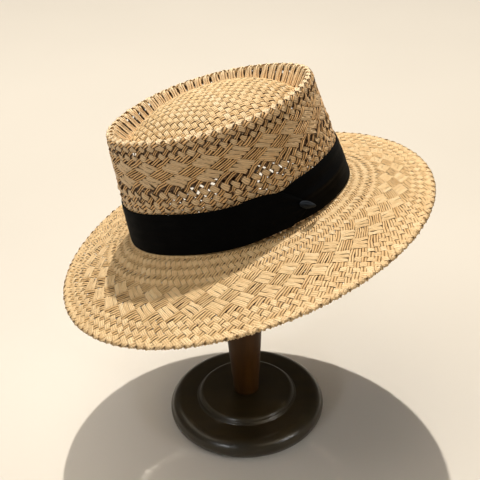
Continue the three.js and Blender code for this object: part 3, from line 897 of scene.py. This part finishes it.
def knot_points(around=64, along=40):
    """A tapered lens with a nearly flat back, wrinkled by a few waves round it."""
    turn = np.arange(around)[None, :] / around * 2.0 * np.pi
    step = np.linspace(0.0, np.pi, along)[1:-1][:, None]
    x = -np.cos(step) + 0.0 * turn
    taper = 1.0 - KNOT_TAPER * x
    wrinkle = 1.0 + 0.06 * np.sin(turn * 5.0 + x * 2.0) * np.sin(step) + 0.04 * np.sin(turn * 9.0 - x * 3.0)
    radius = np.sin(step) * wrinkle
    y, z = radius * np.cos(turn) * taper, radius * np.sin(turn)
    z = np.where(z < 0.0, z * KNOT_BACK, z * taper)
    body = np.stack([x * KNOT_HALF_LENGTH, y * KNOT_HALF_HEIGHT, z * KNOT_THICK], -1)
    ends = np.array([(-KNOT_HALF_LENGTH, 0.0, 0.0), (KNOT_HALF_LENGTH, 0.0, 0.0)])
    return body, ends


def capped(body, ends):
    """Points, quads and triangles of a tube of rings closed by one point at each end."""
    rings, around = body.shape[:2]
    number = np.arange(rings * around).reshape(rings, around)
    ahead = np.roll(number, -1, axis=1)
    quads = np.stack([number[:-1], number[1:], ahead[1:], ahead[:-1]], -1).reshape(-1, 4)
    first, last = rings * around, rings * around + 1
    low = np.stack([np.full(around, first), number[0], ahead[0]], -1)
    high = np.stack([np.full(around, last), ahead[-1], number[-1]], -1)
    return np.concatenate([body.reshape(-1, 3), ends]), quads, np.concatenate([low, high])


def on_side(angle, height, stand):
    """A point off the side of the crown by a stand, at an angle and a height."""
    off = stand - wall_inset(height)
    x, y = oval(CROWN_HALF_LENGTH + off, CROWN_HALF_WIDTH + off, angle)
    return np.array([x + set_back(height), y, height])


def knot_frame():
    """Where the knot lies on the band: its middle, and directions along, up and out."""
    middle = on_side(KNOT_ANGLE, KNOT_HEIGHT, KNOT_STAND)
    along = unit(on_side(KNOT_ANGLE + 0.01, KNOT_HEIGHT, 0.0) - on_side(KNOT_ANGLE - 0.01, KNOT_HEIGHT, 0.0))
    up = unit(on_side(KNOT_ANGLE, KNOT_HEIGHT + 2.0, 0.0) - on_side(KNOT_ANGLE, KNOT_HEIGHT - 2.0, 0.0))
    out = unit(np.cross(along, up))
    along = along * np.cos(KNOT_TILT) + np.cross(out, along) * np.sin(-KNOT_TILT)
    return middle, along, np.cross(out, along), out


knot_body, knot_ends = knot_points()
knot_all, knot_quads, knot_tris = capped(knot_body, knot_ends)
knot_middle, knot_along, knot_up, knot_out = knot_frame()
knot_in_hat = knot_middle + knot_all @ np.stack([knot_along, knot_up, knot_out])
make_piece(
    "ribbon_knot", in_room(knot_in_hat), knot_quads, knot_cloth, ("band_knot",), tris=knot_tris,
    uv=knot_all[:, :2],
)

# %% [markdown]
# ## Turned wood
# The stand is turned from wood: a dark lacquered base with a full round edge and a raised step, and a brown
# post with a plain domed head. Grain is noise drawn out along the wood, and lacquer is a clear coat over it.
# Rings of a tree trunk could be drawn with a wave texture, but on wood this dark only streaks show.

# %% Wood finishes
def wood(dark, light, stretch, coat, gloss, rough):
    """Grain as noise stretched along the wood, with fine pores and a clear coat."""

    def shading(start):
        place = start.node("ShaderNodeTexCoord", output="Object")
        grain_place = start.node("ShaderNodeMapping", {}, {"Vector": place, "Scale": stretch})
        grain = noise(start, grain_place, 1.0, 5.0, 0.6)
        pores = noise(start, grain_place, 6.0, 2.0, 0.5)
        wear = noise(start, place, 25.0, 3.0)
        colour = (grain * 1.9 - 0.45 + pores * 0.3 - 0.15).held().blend(dark, light)
        return {
            "Base Color": colour,
            "Roughness": rough + wear * 0.22 + pores * 0.1,
            "Normal": bumped(start, grain * 0.5 + pores, 0.12, 0.0005),
            "Coat Weight": coat,
            "Coat Roughness": gloss,
            "Coat IOR": 1.5,
            "Specular IOR Level": 0.25,
        }

    return shading


dark_wood = new_finish("dark_lacquered_wood", wood(
    dark=(0.006, 0.004, 0.0002, 1), light=(0.028, 0.018, 0.0015, 1), stretch=(10, 60, 60),
    coat=0.9, gloss=0.3, rough=0.5,
))
brown_wood = new_finish("brown_wood", wood(
    dark=(0.018, 0.006, 0.0004, 1), light=(0.062, 0.024, 0.002, 1), stretch=(90, 90, 9),
    coat=0.07, gloss=0.15, rough=0.35,
))
print("wood finishes:", dark_wood.name, brown_wood.name)

# %% [markdown]
# ## The stand
# Each turned piece is a profile swept round the axis, as on the lathe that made it. A Screw modifier would do the
# same, and numpy also closes the two ends. The profiles repeat the sizes of the solids, with finer steps on the
# round edges.

# %% Stand pieces
def turned(name, profile, material, node, around=144):
    """A profile of radius and height swept round the stand's axis, closed by a point at each end."""
    profile = np.asarray(profile, dtype=float)
    turn = np.arange(around)[None, :] / around * 2.0 * np.pi
    radius, height = profile[1:-1, :1], profile[1:-1, 1:]
    body = np.stack([radius * np.cos(turn), radius * np.sin(turn), height + 0.0 * turn], -1)
    ends = np.array([(0.0, 0.0, profile[0, 1]), (0.0, 0.0, profile[-1, 1])])
    points, quads, tris = capped(body, ends)
    return make_piece(name, points * MM, quads[:, ::-1], material, (node,), tris=tris[:, ::-1])


def bend(radius, height, size, start, end, steps):
    """Points of an arc in a profile, by angle in degrees."""
    angle = np.radians(np.linspace(start, end, steps))
    return list(np.stack([radius + size * np.cos(angle), height + size * np.sin(angle)], -1))


# Radius and height of the middle of each arc of the base, and its size
BASE_EDGE, STEP_FOOT, STEP_EDGE = (64.1, 11.2, 11.2), (49.4, 23.3, 0.9), (42.0, 23.9, 4.5)
LEDGE_HEIGHT, STEP_HEIGHT = 22.4, 28.4
base_profile = [(0.0, 0.0), *bend(*BASE_EDGE, -90, 90, 25), (49.5, LEDGE_HEIGHT), *bend(*STEP_FOOT, -90, -180, 4)]
base_profile += [*bend(*STEP_EDGE, 0, 90, 12), (20.0, STEP_HEIGHT), (0.0, STEP_HEIGHT)]
turned("turned_base", base_profile, dark_wood, "stand_base")

HEAD_RADIUS, HEAD_DEPTH, DOME_SPHERE, DOME_RIM = 43.0, 16.0, 64.0, 40.0
head_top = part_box("stand_head")[1][2] / MM
dome_radius = np.linspace(DOME_RIM, 0.0, 16)
dome_height = head_top + np.sqrt(DOME_SPHERE ** 2 - dome_radius ** 2) - DOME_SPHERE
shoulder = dome_height[0]
dome = list(np.stack([dome_radius, dome_height], -1))
head_foot = shoulder - HEAD_DEPTH
head_profile = [(0.0, head_foot), (34.0, head_foot), (35.0, head_foot), (42.6, shoulder - 10.3)]
head_profile += [(HEAD_RADIUS, shoulder - 9.5), (HEAD_RADIUS, shoulder - 2.9), (42.4, shoulder - 1.7), *dome]
turned("turned_head", head_profile, brown_wood, "stand_head")

post_low, post_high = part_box("stand_post")
foot, end = post_low[2] / MM, post_high[2] / MM
POST_FOOT_RADIUS, POST_RADIUS, POST_BEVEL = 12.2, 17.5, 0.8
waist = foot + (end - foot) * 0.28
post_profile = [(0.0, foot), (11.4, foot), (POST_FOOT_RADIUS, foot + POST_BEVEL), (POST_RADIUS, waist)]
post_profile += [(POST_RADIUS, end - POST_BEVEL), (16.8, end), (0.0, end)]
turned("turned_post", post_profile, brown_wood, "stand_post")

# %% [markdown]
# ## The floor
# The floor is pale, matt and plain, so that nothing draws the eye from the hat. It is one big square, and no
# piece of the object.

# %% Floor
def plain_floor(start):
    """A pale matt floor with a faint soft mottle."""
    place = start.node("ShaderNodeTexCoord", output="Object")
    mottle = noise(start, place, 3.0, 2.0)
    return {"Base Color": mottle.blend((0.70, 0.69, 0.67, 1), (0.76, 0.75, 0.73, 1)), "Roughness": 0.9}


floor_mesh = bpy.data.meshes.new("floor")
floor_mesh.from_pydata([(-6, -6, 0), (6, -6, 0), (6, 6, 0), (-6, 6, 0)], [], [(0, 1, 2, 3)])
floor_mesh.materials.append(new_finish("pale_floor", plain_floor))
floor = bpy.data.objects.new("floor", floor_mesh)
bpy.context.scene.collection.objects.link(floor)
print("floor is", round(floor.dimensions.x), "m wide")

# %% [markdown]
# ## The lights
# A small warm light high behind the hat throws the crown's sharp shadow over the front of the brim, a wide soft
# light hangs overhead, and a low strip in front fills the shadow. Two narrow beams reach only the base and show
# as streaks on its lacquer. Sun and sky would be quicker to set, but a lamp's size says how soft its shadow is.

# %% Lights
def add_light(name, place, target, size, power, colour, spread=180.0):
    """An area light of a width and a height, turned towards a target, with a beam as wide as its spread."""
    lamp = bpy.data.lights.new(name, "AREA")
    lamp.shape = "RECTANGLE"
    lamp.size, lamp.size_y = size
    lamp.energy, lamp.color = power, colour
    lamp.spread = np.radians(spread)
    light = bpy.data.objects.new(name, lamp)
    light.location = place
    light.rotation_euler = (Vector(target) - Vector(place)).to_track_quat("-Z", "Y").to_euler()
    bpy.context.scene.collection.objects.link(light)


HAT_MIDDLE, BASE_MIDDLE = (0.0, 0.0, 0.25), (0.0, 0.0, 0.01)
add_light("key", (0.055, 1.015, 2.83), HAT_MIDDLE, (0.035, 0.035), 72.0, (1.0, 0.90, 0.76))
add_light("overhead", (-0.7, 0.1, 2.05), HAT_MIDDLE, (2.4, 2.4), 31.0, (1.0, 0.88, 0.71))
add_light("front", (1.0, -1.05, 0.95), HAT_MIDDLE, (1.6, 0.25), 4.0, (1.0, 0.80, 0.54))
add_light("base_left", (-0.62, -0.95, 0.45), BASE_MIDDLE, (0.6, 0.12), 0.06, (0.95, 0.97, 1.0), 14.0)
add_light("base_right", (0.95, -0.62, 0.45), BASE_MIDDLE, (0.4, 0.14), 0.042, (0.95, 0.97, 1.0), 16.0)

world = bpy.data.worlds.new("soft_room")
world.use_nodes = True
world.node_tree.nodes["Background"].inputs["Color"].default_value = (1.0, 0.86, 0.66, 1)
world.node_tree.nodes["Background"].inputs["Strength"].default_value = 0.05
bpy.context.scene.world = world
bpy.context.scene.view_settings.view_transform = "Standard"
print("lights:", [light.name for light in bpy.data.lights])

# %% [markdown]
# ## The camera
# The camera stands where the outlines of the brim, the band and the base all fall in place. Its lens follows from
# a focal length counted in pixels, which is what a fit to outlines gives, and it is rolled a little. Moving it by
# hand in the viewport would also work, but four named numbers can be read and set again.

# %% Camera
FOCAL_PIXELS, FRAME_PIXELS, SENSOR_WIDTH = 1067.8, 480.0, 36.0
CAMERA_DISTANCE, CAMERA_RISE, CAMERA_ROLL = 0.96275, 0.557, -0.043
look_at = Vector((0.0, 0.0, 0.20018))
back = Vector((0.0, -np.cos(CAMERA_RISE), np.sin(CAMERA_RISE)))
camera_data = bpy.data.cameras.new("camera")
camera_data.sensor_width = SENSOR_WIDTH
camera_data.lens = FOCAL_PIXELS / FRAME_PIXELS * SENSOR_WIDTH
camera = bpy.data.objects.new("camera", camera_data)
facing = back.to_track_quat("Z", "Y").to_matrix() @ Matrix.Rotation(CAMERA_ROLL, 3, "Z")
camera.matrix_world = Matrix.Translation(look_at + back * CAMERA_DISTANCE) @ facing.to_4x4()
bpy.context.scene.collection.objects.link(camera)
bpy.context.scene.camera = camera
print("lens is", round(camera_data.lens, 1), "mm")
